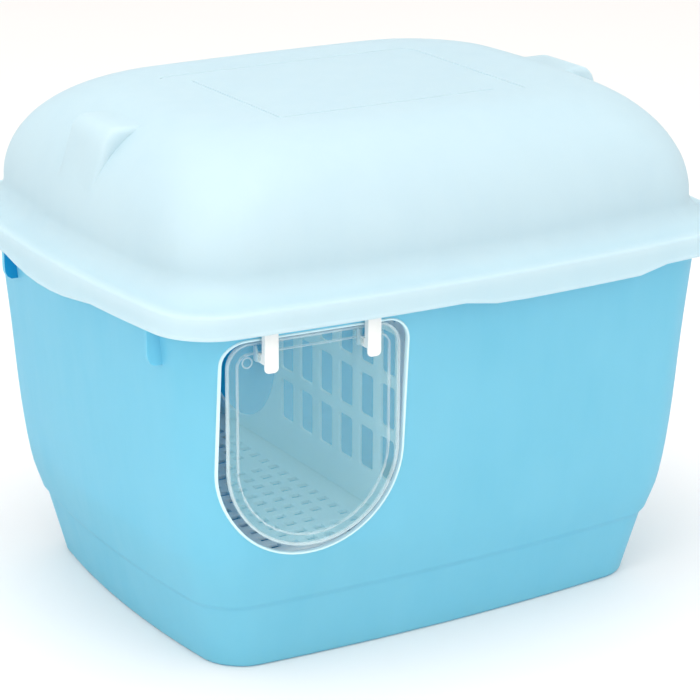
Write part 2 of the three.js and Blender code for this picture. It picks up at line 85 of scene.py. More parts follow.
SKIRT = dict(half_x=300, half_y=248.2, corner=42.6, bow_x=19.6, bow_y=15.8)
SKIRT_BOTTOM = 321.3
SKIRT_TOP = 341
SKIRT_ROUND = 2.5
HOOD_TOP = 456.4
SHOULDER = 94                        # radius from the hood's wall to its flat top
HOOD_INSET = 29.8                    # from the skirt's face to the hood's wall
HOOD_CORNER = (46, 80)               # at the wall and at the flat top
HOOD_BOW = (12, 5)                   # of the flat top's edge
HOOD_SPANS = 28                      # spans up the shoulder
COVE_SPANS = 10
LEDGE = 13                           # width of the flat by which the hood rests on the rim
LEDGE_Z = 338.3
HOLLOW_BOTTOM = 300                  # how low the hollow's cutter starts
GRIP = dict(inner=190, outer=250, foot=392, top=448, half=34, lean=15)
FRONT_TAB = (-6, 168, 11, 5.5)       # from, to, ramp and drop of the pull tab on the front
SIDE_TAB = (-10, 80, 7.5)            # middle, half length and drop of the arc on each side

DOOR_TURN = math.radians(-3.2)       # the doorway stands square to the bowed wall's chord
DOOR_U = -138.5                      # its middle, along the wall
DOOR_OUT = 214                       # roughly where the wall is there
DOOR_CUT = (180, 70)                 # start and depth of the cut through the wall
DOORWAY = dict(half=83.2, bottom=110, top=308, corner=20)
FLAP = dict(half=79.2, bottom=119.5, top=304.5, corner=20)
SHEET_BACK, SHEET_FRONT = 213.5, 215.5
PIN_OUT, PIN_Z = 221.5, 293
PIN_RADIUS, BORE_RADIUS, EYE_RADIUS = 2, 2.35, 3.85
PIN_HALF, BORE_HALF = 7.7, 7.5
EAR_TOP, EAR_ROUND = 302.5, 3.2
EARS = ((-8.7, -6.7), (6.7, 8.7))    # either side of a hook's middle
GATE_MARK = (-199.3, 288.2)
HOOK_SPACING = 93
HOOK_HALF = 6.2
HOOK_LOW, HOOK_HIGH = 282, 333.8
HOOK_BACK, HOOK_THICK, HOOK_ROUND = 229.5, 2.5, 4
CHEEK_BACK, CHEEK_THICK = 226, 2.5
SLIT = dict(half=5.5, low=321.5, high=326.5, near=200, far=240)

WALK_TOP = 111
WALK_THICK = 3
WALK_PLAY = 1.5                      # between the plate's edge and the tub's wall
WALK_EDGE_X = -53
SLOT_FIRST, SLOT_PITCH, SLOT_HALF = (-83, -194), 17.6, (5, 4)
SLOT_COLUMNS, SLOT_ROWS = 10, 23
SLOT_MARGIN = 4.5
LEG_COLUMNS, LEG_ROWS = (1, 6), (3, 11, 19)
LEG_HALF, LEG_FOOT = 6, 3.3

SCREEN_X = -57
SCREEN_TOP = 333
SCREEN_CORNER = 12
WINDOW = dict(first=(-180.8, 144.5), pitch=(34.5, 48.3), width=22, height=38, radius=3)
WINDOW_COLUMNS, WINDOW_ROWS = 6, 4
INNER_DOOR = dict(half=76, bottom=122, top=300, corner=18)
INNER_DOOR_Y = 101


def mix(a, b, part):
    return a + (b - a) * part


def outline(plan, by=0):
    """A rounded rectangle with bowed sides, drawn in by some millimetres, counted round from +X."""
    half_x, half_y = plan["half_x"] - by, plan["half_y"] - by
    corner = max(plan["corner"] - by, LEAST_CORNER)
    quarter = 2 * SIDE_SPANS + CORNER_SPANS
    points = []
    for station in range(4 * quarter):
        quadrant, step = divmod(station, quarter)
        step = step if quadrant % 2 == 0 else quarter - step
        if step < SIDE_SPANS:
            x, y = half_x, (half_y - corner) * step / SIDE_SPANS
        elif step <= SIDE_SPANS + CORNER_SPANS:
            angle = (step - SIDE_SPANS) / CORNER_SPANS * math.pi / 2
            x = half_x - corner + corner * math.cos(angle)
            y = half_y - corner + corner * math.sin(angle)
        else:
            x, y = (half_x - corner) * (quarter - step) / SIDE_SPANS, half_y
        bowed_x = x * (1 - plan["bow_x"] / half_x * (y / half_y) ** 2)
        bowed_y = y * (1 - plan["bow_y"] / half_y * (x / half_x) ** 2)
        points.append((-bowed_x if quadrant in (1, 2) else bowed_x,
                       -bowed_y if quadrant >= 2 else bowed_y))
    return points


def drawn_in(plan, by):
    """The same plan, smaller all round by some millimetres."""
    return dict(plan, half_x=plan["half_x"] - by, half_y=plan["half_y"] - by, corner=plan["corner"] - by)


def ring(plan, z, by=0, drop=None):
    return [Vector((x, y, z - (drop(x, y) if drop else 0))) * MM for x, y in outline(plan, by)]


def tub_plan(z):
    """The tub's outside at a height. Above the foot the wall follows one smooth curve."""
    rows = TUB_WALL
    high = next((i for i, row in enumerate(rows) if row[0] >= z), len(rows) - 1)
    high = max(1, high)
    low = high - 1
    (z0, *a), (z1, *b) = rows[low], rows[high]
    part = (z - z0) / (z1 - z0)
    halves = [mix(p, q, part) for p, q in zip(a, b)]
    if z0 >= FOOT_TOP and 0 < part < 1:
        before = rows[low - 1] if low > 2 else rows[low]
        after = rows[min(high + 1, len(rows) - 1)]
        for axis in (0, 1):
            slope0 = (b[axis] - before[axis + 1]) / (z1 - before[0]) * (z1 - z0)
            slope1 = (after[axis + 1] - a[axis]) / (after[0] - z0) * (z1 - z0)
            t2, t3 = part ** 2, part ** 3
            halves[axis] = (a[axis] * (2 * t3 - 3 * t2 + 1) + slope0 * (t3 - 2 * t2 + part)
                            + b[axis] * (3 * t2 - 2 * t3) + slope1 * (t3 - t2))
    up = z / RIM_TOP
    return dict(half_x=halves[0], half_y=halves[1], corner=mix(*TUB_CORNER, up),
                bow_x=mix(*TUB_BOW_X, up), bow_y=mix(*TUB_BOW_Y, up))


def tub_front(x, z):
    """How far forward the front wall's outside is at a place."""
    plan = tub_plan(z)
    half_x, half_y, corner = plan["half_x"], plan["half_y"], plan["corner"]
    y = half_y
    for _ in range(8):
        flat = abs(x) / (1 - plan["bow_x"] / half_x * (y / half_y) ** 2)
        past = min(max(0, flat - (half_x - corner)), corner)
        y = half_y - corner + math.sqrt(corner ** 2 - past ** 2)
    return y * (1 - plan["bow_y"] / half_y * (flat / half_x) ** 2)


def tub_side(y, z):
    """How far out the side wall's outside is at a place."""
    plan = tub_plan(z)
    past = max(0, abs(y) - (plan["half_y"] - plan["corner"]))
    flat = plan["half_x"] - plan["corner"] + math.sqrt(plan["corner"] ** 2 - past ** 2)
    return flat * (1 - plan["bow_x"] / plan["half_x"] * (y / plan["half_y"]) ** 2)


def at_door(u, out, z):
    """A place given along the door's wall, out from the middle plane, and up."""
    c, s = math.cos(DOOR_TURN), math.sin(DOOR_TURN)
    return Vector((u * c + out * s, u * s - out * c, z)) * MM


def along_wall(start, end):
    """The push from one place along the door's wall to another."""
    return at_door(end, 0, 0) - at_door(start, 0, 0)


def door_outline(plan, by=0, middle=DOOR_U, arc=40, turn=8):
    """A half circle below, straight sides, and rounded corners above."""
    radius = plan["half"] - by
    corner = max(plan["corner"] - by, 2)
    centre = plan["bottom"] + plan["half"]
    points = []
    for i in range(arc + 1):
        angle = math.pi * (1 + i / arc)
        points.append((middle + radius * math.cos(angle), centre + radius * math.sin(angle)))
    for side in (1, -1):
        for i in range(turn + 1):
            angle = (i if side == 1 else turn - i) / turn * math.pi / 2
            points.append((middle + side * (radius - corner + corner * math.cos(angle)),
                           plan["top"] - by - corner + corner * math.sin(angle)))
    return points


# ---------------------------------------------------------------- modelling by hand

def deselect():
    if bpy.context.mode != "OBJECT":
        bpy.ops.object.mode_set(mode="OBJECT")
    bpy.ops.object.select_all(action="DESELECT")


def choose(piece):
    deselect()
    piece.select_set(True)
    bpy.context.view_layer.objects.active = piece


def put(piece, points):
    """Moves the picked vertices, known by their station, to their places."""
    mesh = bmesh.from_edit_mesh(piece.data)
    station = mesh.verts.layers.int["station"]
    for vertex in mesh.verts:
        if vertex.select:
            vertex.co = points[vertex[station]]
    bmesh.update_edit_mesh(piece.data)


def loft(name, rings, hollow=False):
    """A skin drawn ring by ring: a circle is laid on the first ring and extruded to each of the others.

    It is capped at both ends. A hollow one is an endless band, whose last ring meets its first.
    """
    deselect()
    bpy.ops.mesh.primitive_circle_add(vertices=len(rings[0]), radius=MM)
    piece = bpy.context.object
    piece.name = piece.data.name = name
    bpy.ops.object.mode_set(mode="EDIT")
    bpy.ops.mesh.select_mode(type="VERT")
    mesh = bmesh.from_edit_mesh(piece.data)
    station = mesh.verts.layers.int.new("station")
    for i, vertex in enumerate(mesh.verts):
        vertex[station] = i
    bmesh.update_edit_mesh(piece.data)
    bpy.ops.mesh.select_all(action="SELECT")
    put(piece, rings[0])
    if not hollow:
        bpy.ops.mesh.edge_face_add()
    for points in rings[1:] + ([rings[0]] if hollow else []):
        if hollow:
            bpy.ops.mesh.extrude_edges_move()
        else:
            bpy.ops.mesh.extrude_region_move()
        put(piece, points)
    bpy.ops.mesh.select_all(action="SELECT")
    if hollow:
        bpy.ops.mesh.remove_doubles(threshold=1e-6)
    bpy.ops.mesh.normals_make_consistent(inside=False)
    deselect()
    return piece


def plate(name, points, push):
    """A flat outline given a thickness."""
    return loft(name, [points, [point + push for point in points]])


def finish_modifier(piece, kind, **settings):
    choose(piece)
    modifier = piece.modifiers.new(kind.lower(), kind)
    for key, value in settings.items():
        setattr(modifier, key, value)
    bpy.ops.object.modifier_apply(modifier=modifier.name)


def cut(piece, tool):
    finish_modifier(piece, "BOOLEAN", operation="DIFFERENCE", solver="EXACT", object=tool)
    bpy.data.objects.remove(tool)


def weld(piece, tool):
    finish_modifier(piece, "BOOLEAN", operation="UNION", solver="EXACT", object=tool)
    bpy.data.objects.remove(tool)


def soften(piece, width, segments=3, angle=40):
    finish_modifier(piece, "BEVEL", width=width * MM, segments=segments, limit_method="ANGLE",
                    angle_limit=math.radians(angle), harden_normals=False)


def join(name, pieces):
    deselect()
    for piece in pieces:
        piece.select_set(True)
    bpy.context.view_layer.objects.active = pieces[0]
    bpy.ops.object.join()
    pieces[0].name = pieces[0].data.name = name
    return pieces[0]


def block(name, low, high, place=None):
    """A block between two corners, drawn from its lower face."""
    (x0, y0, z0), (x1, y1, z1) = low, high
    place = place or (lambda x, y, z: Vector((x, y, z)) * MM)
    return loft(name, [[place(x, y, z) for x, y in ((x0, y0), (x1, y0), (x1, y1), (x0, y1))]
                       for z in (z0, z1)])


def rod(name, radius, start, end, sides=24):
    """A round bar along the hinge's axis."""
    turns = [2 * math.pi * i / sides for i in range(sides)]
    return loft(name, [[at_door(u, PIN_OUT + radius * math.cos(t), PIN_Z + radius * math.sin(t))
                        for t in turns] for u in (start, end)])


def complete(piece, material, body, nodes, angle=32):
    choose(piece)
    bpy.ops.object.mode_set(mode="EDIT")
    bpy.ops.mesh.select_all(action="SELECT")
    bpy.ops.mesh.remove_doubles(threshold=2e-6)
    bpy.ops.mesh.normals_make_consistent(inside=False)
    bpy.ops.object.mode_set(mode="OBJECT")
    bpy.ops.object.shade_smooth_by_angle(angle=math.radians(angle))
    if "station" in piece.data.attributes:
        piece.data.attributes.remove(piece.data.attributes["station"])
    piece.data.materials.clear()
    piece.data.materials.append(material)
    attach(piece, body)
    if nodes:
        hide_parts(*nodes)
    return piece


# ---------------------------------------------------------------- materials

def linear(code):
    """sRGB hex to the linear colour that nodes use."""
    channels = [int(code[i:i + 2], 16) / 255 for i in (1, 3, 5)]
    return [c / 12.92 if c <= 0.04045 else ((c + 0.055) / 1.055) ** 2.4 for c in channels] + [1]


def add(tree, kind, inputs=None, **settings):
    """Adds a node with its settings, and with values or other nodes' outputs on its inputs."""
    made = tree.nodes.new(kind)
    for key, value in settings.items():
        setattr(made, key, value)
    for key, value in (inputs or {}).items():
        if isinstance(value, bpy.types.NodeSocket):
            tree.links.new(value, made.inputs[key])
        else:
            made.inputs[key].default_value = value
    return made


def per_metre(size):
    """Noise scale whose features are a size in millimetres."""
    return 1000 / size


def polypropylene(name, colour, shade, rough, relief=0.10, glow=0.0, core=None, see_through=None):
    """Injection-moulded polypropylene: an even, slightly waxy satin.

    The eye sees three things: faint broad drifts of tone where the melt flowed, a roughness that drifts
    with them, and the fine spark-eroded grain of the mould. The real grain is about 0.3 mm; it is drawn
    coarser so that it shows.
    """
    material = bpy.data.materials.new(name)
    material.use_nodes = True
    tree = material.node_tree
    shader = tree.nodes["Principled BSDF"]
    place = add(tree, "ShaderNodeTexCoord").outputs["Object"]
    drift = add(tree, "ShaderNodeTexNoise", {"Vector": place, "Scale": per_metre(90), "Detail": 3.0,
                                             "Roughness": 0.5})
    flow = add(tree, "ShaderNodeMapping", {"Vector": place, "Scale": (1.0, 1.0, 0.25)})
    streak = add(tree, "ShaderNodeTexNoise", {"Vector": flow.outputs["Vector"], "Scale": per_metre(22),
                                              "Detail": 4.0, "Roughness": 0.6})
    amount = add(tree, "ShaderNodeMath", {0: drift.outputs["Fac"], 1: streak.outputs["Fac"]},
                 operation="MULTIPLY")
    tone = add(tree, "ShaderNodeMapRange", {"Value": amount.outputs["Value"], "From Min": 0.12,
                                            "From Max": 0.42, "To Min": 0.0, "To Max": 1.0})
    tint = add(tree, "ShaderNodeMix", {"Factor": tone.outputs["Result"], 6: linear(colour),
                                       7: linear(shade)}, data_type="RGBA")
    tree.links.new(tint.outputs[2], shader.inputs["Base Color"])
    gloss = add(tree, "ShaderNodeMapRange", {"Value": streak.outputs["Fac"], "From Min": 0.3,
                                             "From Max": 0.7, "To Min": rough - 0.04,
                                             "To Max": rough + 0.05})
    tree.links.new(gloss.outputs["Result"], shader.inputs["Roughness"])
    pores = add(tree, "ShaderNodeTexNoise", {"Vector": place, "Scale": per_metre(1.8), "Detail": 2.0,
                                             "Roughness": 0.55})
    bump = add(tree, "ShaderNodeBump", {"Strength": relief, "Distance": 0.0003,
                                        "Height": pores.outputs["Fac"]})
    tree.links.new(bump.outputs["Normal"], shader.inputs["Normal"])
    shader.inputs["IOR"].default_value = 1.49
    if see_through:
        shader.inputs["Alpha"].default_value = see_through
    if glow:
        through = add(tree, "ShaderNodeBsdfTranslucent", {"Color": linear(core or colour),
                                                          "Normal": bump.outputs["Normal"]})
        both = add(tree, "ShaderNodeMixShader", {0: glow, 1: shader.outputs["BSDF"],
                                                 2: through.outputs["BSDF"]})
        tree.links.new(both.outputs["Shader"], tree.nodes["Material Output"].inputs["Surface"])
    return material


TUB_PLASTIC = polypropylene("moulded_polypropylene_sky_blue", "#8ce1f6", "#85ddf3", 0.42, glow=0.35,
                            core="#8ff0ff")
# The same sky blue plastic made deeper and darker: painted shade for the tub's inside and floor.
TUB_PAINTED_SHADE = polypropylene("moulded_polypropylene_sky_blue_painted_shade", "#1ea0d2", "#1898cb", 0.42, glow=0.55,
                           core="#34c6ee")
HOOD_PLASTIC = polypropylene("moulded_polypropylene_pale_aqua", "#d2eaf1", "#cee7ef", 0.45, glow=0.42,
                             core="#fcfdfd")
INSERT_PLASTIC = polypropylene("moulded_polypropylene_ice", "#e6f4f6", "#dff0f3", 0.45, glow=0.15)
# Paler than the tub: a painted highlight along the lit edge of the doorway's bead.
BEAD_PAINTED_HIGHLIGHT = polypropylene("moulded_polypropylene_bead_painted_highlight", "#d6f2f8", "#cdedf4", 0.38)
HOOK_PLASTIC = polypropylene("moulded_polypropylene_white", "#f4f5f3", "#eceeec", 0.36, relief=0.05)
FLAP_PLASTIC = polypropylene("clear_polypropylene_sheet", "#a6e4ee", "#9fe0eb", 0.22, relief=0.04,
                             see_through=0.22)
FLAP_EDGE = polypropylene("clear_polypropylene_thick_edge", "#e6f9fb", "#def5f9", 0.22, relief=0.04,
                          see_through=0.4)

# ---------------------------------------------------------------- tub

FOOT_LEVELS = [6, 20, 35, 50, 58, 60, 61.2, 62.5, 63.8, FOOT_TOP]
WALL_LEVELS = [66, 72, 80, 90, 100, 115, 130, 150, 170, 190, 210, 230, 250, 270, 290, 310, WALL_TOP]
wall_top = tub_plan(WALL_TOP)
rim = drawn_in(SKIRT, RIM_INSET)
# The rim, from the wall's outside over its turned-down lip to the wall's inside: plan, height, inset.
RIM_SECTION = [(wall_top, 333.4, -0.4), (wall_top, 334.5, -1.6), (rim, 334.5, 5), (rim, 334.0, 3.4),
               (rim, 333.2, 3), (rim, 330.6, 3), (rim, 330, 2.4), (rim, 330, 0.6), (rim, 330.6, 0),
               (rim, 336.6, 0), (rim, 337.6, 0.4), (rim, RIM_TOP, 1.4), (wall_top, RIM_TOP, 1.6),
               (wall_top, 337.4, 2.6), (wall_top, 335.6, WALL)]
rings = [ring(tub_plan(4), BASE_ROUND * (1 - math.sin(t)), BASE_ROUND * (1 - math.cos(t)))
         for t in [math.pi / 2 * (1 - i / 5) for i in range(6)]]
rings += [ring(tub_plan(z), z) for z in FOOT_LEVELS + WALL_LEVELS]
rings += [ring(plan, z, by) for plan, z, by in RIM_SECTION]
rings += [ring(tub_plan(z), z, WALL) for z in reversed(FOOT_LEVELS[2:] + WALL_LEVELS)]
rings += [ring(tub_plan(20), WALL + FLOOR_ROUND * (1 - math.sin(t)),
               WALL + 0.5 + FLOOR_ROUND * (1 - math.cos(t)))
          for t in [math.pi / 2 * i / 6 for i in range(1, 7)]]
tub = loft("tub_shell", rings)

gussets = []
for side in (-1, 1):
    for y in GUSSET_YS:
        wall = tub_side(y, 330)
        points = [Vector((side * (wall + out), y - GUSSET_THICK / 2, z)) * MM for out, z in GUSSET_SECTION]
        gussets.append(plate("gusset", points, Vector((0, GUSSET_THICK * MM, 0))))
weld(tub, join("gussets", gussets))
cut(tub, plate("doorway", [at_door(u, DOOR_CUT[0], z) for u, z in door_outline(DOORWAY)],
               at_door(0, DOOR_CUT[1], 0)))
hook_places = [DOOR_U - HOOK_SPACING / 2, DOOR_U + HOOK_SPACING / 2]
cut(tub, join("slits", [block("slit", (u - SLIT["half"], SLIT["near"], SLIT["low"]),
                              (u + SLIT["half"], SLIT["far"], SLIT["high"]), at_door)
                        for u in hook_places]))
complete(tub, TUB_PLASTIC, "box", ["tub"])
# The faces that look inwards, and the floor, take the deeper blue: painted shade for the dim inside of the
# tub.
tub.data.materials.append(TUB_PAINTED_SHADE)
for face in tub.data.polygons:
    spot, normal = face.center / MM, face.normal
    inward = spot.x * normal.x + spot.y * normal.y < 0 or (spot.z < 40 and normal.z > 0.2)
    underside = normal.z <= -0.5 and spot.z <= 100
    if inward and not underside and spot.z < 333.9:
        face.material_index = 1

# The bead that frames the doorway: a half-round moulding that lies on the bowed wall. Its pale colour is a
# painted highlight on its lit edge.
BEAD_SECTION = [(0.25, -3.2), (0.25, 0.5), (0, 1.0), (-0.6, 1.3), (-1.3, 1.2), (-1.8, 0.7), (-2.0, -0.3),
                (-1.7, -0.5), (-0.05, -0.5), (-0.05, -3.2)]


def on_wall(u, z, proud):
    """A place on the front wall at the door, standing proud by some millimetres."""
    out = DOOR_OUT
    for _ in range(4):
        spot = at_door(u, out, z) / MM
        out += tub_front(spot.x, min(z, WALL_TOP)) + spot.y
    return at_door(u, out + proud, z)


bead_rings = [[on_wall(u, z, proud) for u, z in door_outline(DOORWAY, by)] for by, proud in BEAD_SECTION]
complete(loft("doorway_bead", bead_rings, hollow=True), BEAD_PAINTED_HIGHLIGHT, "box", [], 50)

# ---------------------------------------------------------------- hood

def smooth_step(value, low, high):
    t = min(max((value - low) / (high - low), 0), 1)
    return t * t * (3 - 2 * t)


def skirt_drop(x, y):
    if y < -0.8 * SKIRT["half_y"]:
        start, end, ramp, drop = FRONT_TAB
        rise = smooth_step(x, start - ramp, start + ramp)
        return drop * rise * (1 - smooth_step(x, end - ramp, end + ramp))
    middle, half, drop = SIDE_TAB
    along = (y - middle) / half
    return drop * (1 - along ** 2) if abs(x) > 0.8 * SKIRT["half_x"] and abs(along) < 1 else 0


def hood_plan(part, by):
    """The hood from the top of its wall (0) to its flat top (1)."""
    angle = part * math.pi / 2
    inward = HOOD_INSET + SHOULDER * (1 - math.cos(angle)) + by * math.cos(angle)
    plan = dict(half_x=SKIRT["half_x"] - inward, half_y=SKIRT["half_y"] - inward,
                corner=mix(*HOOD_CORNER, part) - by * (1 - part),
                bow_x=mix(SKIRT["bow_x"], HOOD_BOW[0], part), bow_y=mix(SKIRT["bow_y"], HOOD_BOW[1], part))
    return ring(plan, HOOD_TOP - SHOULDER + (SHOULDER - by) * math.sin(angle))


def cove_plan(part, by):
    """The hollow curve from the skirt (0) to the hood's wall (1)."""
    angle = part * math.pi / 2
    rise = HOOD_TOP - SHOULDER - SKIRT_TOP
    inward = SKIRT_ROUND + (HOOD_INSET - SKIRT_ROUND + by) * math.sin(angle)
    plan = dict(SKIRT, half_x=SKIRT["half_x"] - inward, half_y=SKIRT["half_y"] - inward,
                corner=mix(SKIRT["corner"], HOOD_CORNER[0], part) - by * part)
    return ring(plan, SKIRT_TOP + rise * (1 - math.cos(angle)) - by * math.cos(angle))


def grip(side, by, name):
    """A block for the fingers on the shoulder of each side, drawn from its profile."""
    inner, outer, top = GRIP["inner"] - by, GRIP["outer"] - by, GRIP["top"] - by
    foot, half = GRIP["foot"], GRIP["half"] - by
    profile = [(inner, foot - by), (inner, top), (outer - 8, top), (outer, top - 8),
               (outer + GRIP["lean"], foot), (outer - 6, foot - 6)]
    piece = plate(name, [Vector((side * x, -half, z)) * MM for x, z in profile],
                  Vector((0, 2 * half * MM, 0)))
    soften(piece, 5 - by * 0.8, 5, 25)
    return piece


# The skirt's lower edge: inset, height, and whether it hangs down with the tabs.
LOW_EDGE = [(6, 5, False), (3.2, 0.4, True), (2.2, 0, True), (0.4, 0, True), (-0.5, 0.4, True),
            (-0.9, 1.3, True), (-0.8, 2.3, True), (-0.2, 3.2, True), (0, 4.2, True)]
outside = [ring(SKIRT, SKIRT_BOTTOM + z, by, skirt_drop if drops else None) for by, z, drops in LOW_EDGE]
outside += [ring(SKIRT, z) for z in (331, 335, 338.3)]
outside += [ring(SKIRT, SKIRT_TOP - SKIRT_ROUND * (1 - math.sin(t)), SKIRT_ROUND * (1 - math.cos(t)))
            for t in (0.3, 0.7, 1.1)]
outside += [cove_plan(i / COVE_SPANS, 0) for i in range(COVE_SPANS + 1)]
outside += [hood_plan(i / HOOD_SPANS, 0) for i in range(1, HOOD_SPANS + 1)]
hood = loft("hood_shell", outside)
skirt_in = drawn_in(SKIRT, WALL)
inside = [ring(skirt_in, HOLLOW_BOTTOM), ring(skirt_in, LEDGE_Z - 1),
          ring(skirt_in, LEDGE_Z, 1), ring(skirt_in, LEDGE_Z, LEDGE)]
inside += [cove_plan(i / COVE_SPANS, WALL) for i in range(7, COVE_SPANS + 1)]
inside += [hood_plan(i / HOOD_SPANS, WALL) for i in range(1, HOOD_SPANS + 1)]
hollow = loft("hood_hollow", inside)
for side in (-1, 1):
    weld(hood, grip(side, 0, "grip"))
    weld(hollow, grip(side, WALL, "grip_hollow"))
cut(hood, hollow)

# Two engraved lines on the flat top, each an L, leave the rectangle open at two of its corners.
# Its section: across the line, and up from the top.
GROOVE_SECTION = [(-1.0, 2), (-1.0, -0.1), (-0.7, -1.3), (0.7, -1.3), (1.0, -0.1), (1.0, 2)]


def groove(name, path):
    """A thin bar laid along a path on the hood's top, to be cut away."""
    rings = []
    for i, spot in enumerate(path):
        before, after = path[max(i - 1, 0)], path[min(i + 1, len(path) - 1)]
        along = (Vector(after) - Vector(before)).normalized()
        across = Vector((-along.y, along.x))
        rings.append([Vector((spot[0] + across.x * s, spot[1] + across.y * s, HOOD_TOP + h)) * MM
                      for s, h in GROOVE_SECTION])
    return loft(name, rings)


def bend(centre, radius, start, end, spans=8):
    """Points round an arc, from one angle to another in degrees."""
    turns = [math.radians(mix(start, end, i / spans)) for i in range(spans + 1)]
    return [(centre[0] + radius * math.cos(t), centre[1] + radius * math.sin(t)) for t in turns]


back_and_right = [(-139, 82), (-136.5, 86), (-132, 87.5)] + bend((104, 69.5), 18, 90, 0) + [(121, -107)]
left_and_front = [(-119, 61)] + bend((-116.5, -94.5), 3, 180, 270, 4) + [(94, -97.5)]
cut(hood, groove("groove", back_and_right))
cut(hood, groove("groove", left_and_front))
complete(hood, HOOD_PLASTIC, "cover", ["hood"])

# ---------------------------------------------------------------- walkway

def inside_reach(x, z, clear):
    """Half the room between the front and back walls at a place."""
    return tub_front(x, z) - clear


walk_low = WALK_TOP - WALK_THICK
side_points = [(x, y) for x, y in outline(tub_plan(walk_low), WALL + WALK_PLAY) if x < WALK_EDGE_X - 1]
side_points.sort(key=lambda p: math.atan2(p[1], -p[0] - 60))
reach = inside_reach(WALK_EDGE_X, walk_low, WALL + WALK_PLAY)
walk_outline = [(WALK_EDGE_X, -reach)] + side_points + [(WALK_EDGE_X, reach)]
walkway = plate("walkway_plate", [Vector((x, y, walk_low)) * MM for x, y in walk_outline],
                Vector((0, 0, WALK_THICK * MM)))


def inside_outline(points, x, y, margin):
    """True where a place is well inside a convex outline that is counted clockwise."""
    for i, (ax, ay) in enumerate(points):
        bx, by = points[(i + 1) % len(points)]
        length = math.hypot(bx - ax, by - ay)
        if length > 0 and ((bx - ax) * (y - ay) - (by - ay) * (x - ax)) / length > -margin:
            return False
    return True


slots, legs = [], []
across, along = SLOT_HALF
for column in range(SLOT_COLUMNS):
    for row in range(SLOT_ROWS):
        x, y = SLOT_FIRST[0] - column * SLOT_PITCH, SLOT_FIRST[1] + row * SLOT_PITCH
        corners = [(x + i * across, y + j * along) for i in (-1, 1) for j in (-1, 1)]
        if column in LEG_COLUMNS and row in LEG_ROWS:
            legs.append(block("leg", (x - LEG_HALF, y - LEG_HALF, LEG_FOOT),
                              (x + LEG_HALF, y + LEG_HALF, WALK_TOP - 2)))
        elif all(inside_outline(walk_outline, cx, cy, SLOT_MARGIN) for cx, cy in corners):
            slots.append(block("slot", (*corners[0], WALK_TOP - 8), (*corners[-1], WALK_TOP + 5)))
cut(walkway, join("slots", slots))
weld(walkway, join("legs", legs))
soften(walkway, 0.5, 2, 50)
complete(walkway, INSERT_PLASTIC, "box", ["walkway_floor"])

# ---------------------------------------------------------------- partition

def screen_point(y, z):
    return Vector((SCREEN_X, y, z)) * MM


def screen_half(z):
    return inside_reach(SCREEN_X, z, WALL + 2)


def screen_cutter(name, outline_points):
    """A bar along X that passes right through the partition."""
    return plate(name, [screen_point(y, z) - Vector((2 * MM, 0, 0)) for y, z in outline_points],
                 Vector((10 * MM, 0, 0)))


def rounded(y, z, width, height, radius, spans=4):
    points = []
    left, right, low, high = y + radius, y + width - radius, z + radius, z + height - radius
    for cy, cz, start in ((right, low, -90), (right, high, 0), (left, high, 90), (left, low, 180)):
        points += bend((cy, cz), radius, start, start + 90, spans)
    return points


top_half = screen_half(SCREEN_TOP - 2) - 1
right_edge = [(screen_half(z), z) for z in (WALK_TOP + 0.3, 130, 150, 200, 250, 300)]
right_edge += bend((top_half - SCREEN_CORNER, SCREEN_TOP - SCREEN_CORNER), SCREEN_CORNER, 0, 90, 6)
screen_outline = right_edge + [(-y, z) for y, z in reversed(right_edge)]
screen = plate("partition_plate", [screen_point(y, z) for y, z in screen_outline], Vector((WALL * MM, 0, 0)))
(first_y, first_z), (pitch_y, pitch_z) = WINDOW["first"], WINDOW["pitch"]
windows = [screen_cutter("window", rounded(first_y + pitch_y * column, first_z + pitch_z * row,
                                           WINDOW["width"], WINDOW["height"], WINDOW["radius"]))
           for column in range(WINDOW_COLUMNS) for row in range(WINDOW_ROWS)]
windows.append(screen_cutter("inner_doorway", door_outline(INNER_DOOR, 0, INNER_DOOR_Y)))
cut(screen, join("windows", windows))
soften(screen, 0.7, 2, 50)
complete(screen, INSERT_PLASTIC, "box", ["partition_screen"])

# ---------------------------------------------------------------- door flap

# Its section from the back's middle, out round the rim, and in over the front.
FLAP_SECTION = [(14, 213.5), (10.8, 213.5), (10.3, 213.4), (10.1, 213), (9.6, 213), (9.4, 213.4),
                (8.9, 213.5), (2.4, 213.5), (2.0, 213.3), (1.7, 212.6), (0.6, 212.5), (0.1, 212.8),
                (0, 213.4), (0, 215.6), (0.1, 216.2), (0.6, 216.5), (1.7, 216.4), (2.0, 215.7),
                (2.4, 215.5), (8.9, 215.5), (9.4, 215.6), (9.6, 216), (10.1, 216), (10.3, 215.6),
                (10.8, 215.5), (14, 215.5)]
flap = loft("door_flap_sheet", [[at_door(u, out, z) for u, z in door_outline(FLAP, by, arc=56)]
                                for by, out in FLAP_SECTION])
EAR_ROOT = 214.6                     # within the sheet
EAR_PROFILE = ([(EAR_ROOT, EAR_TOP), (EAR_ROOT, PIN_Z - EAR_ROUND)]
               + bend((PIN_OUT, PIN_Z), EAR_ROUND, -90, 90) + [(217.5, EAR_TOP)])
for u in hook_places:
    for start, end in EARS:
        weld(flap, plate("ear", [at_door(u + start, out, z) for out, z in EAR_PROFILE],
                         along_wall(u + start, u + end)))
    weld(flap, rod("pin", PIN_RADIUS, u - PIN_HALF, u + PIN_HALF))
# A low ring left by the mould near the top corner.
GATE_SECTION = [(5, 215.2), (5, 215.75), (4.6, 215.9), (4.0, 215.9), (3.6, 215.75), (3.6, 215.2)]
turns = [2 * math.pi * i / 24 for i in range(24)]
weld(flap, loft("gate_mark", [[at_door(GATE_MARK[0] + radius * math.cos(t), out,
                                       GATE_MARK[1] + radius * math.sin(t)) for t in turns]
                              for radius, out in GATE_SECTION], hollow=True))
complete(flap, FLAP_PLASTIC, "flap", ["door_flap"], 35)
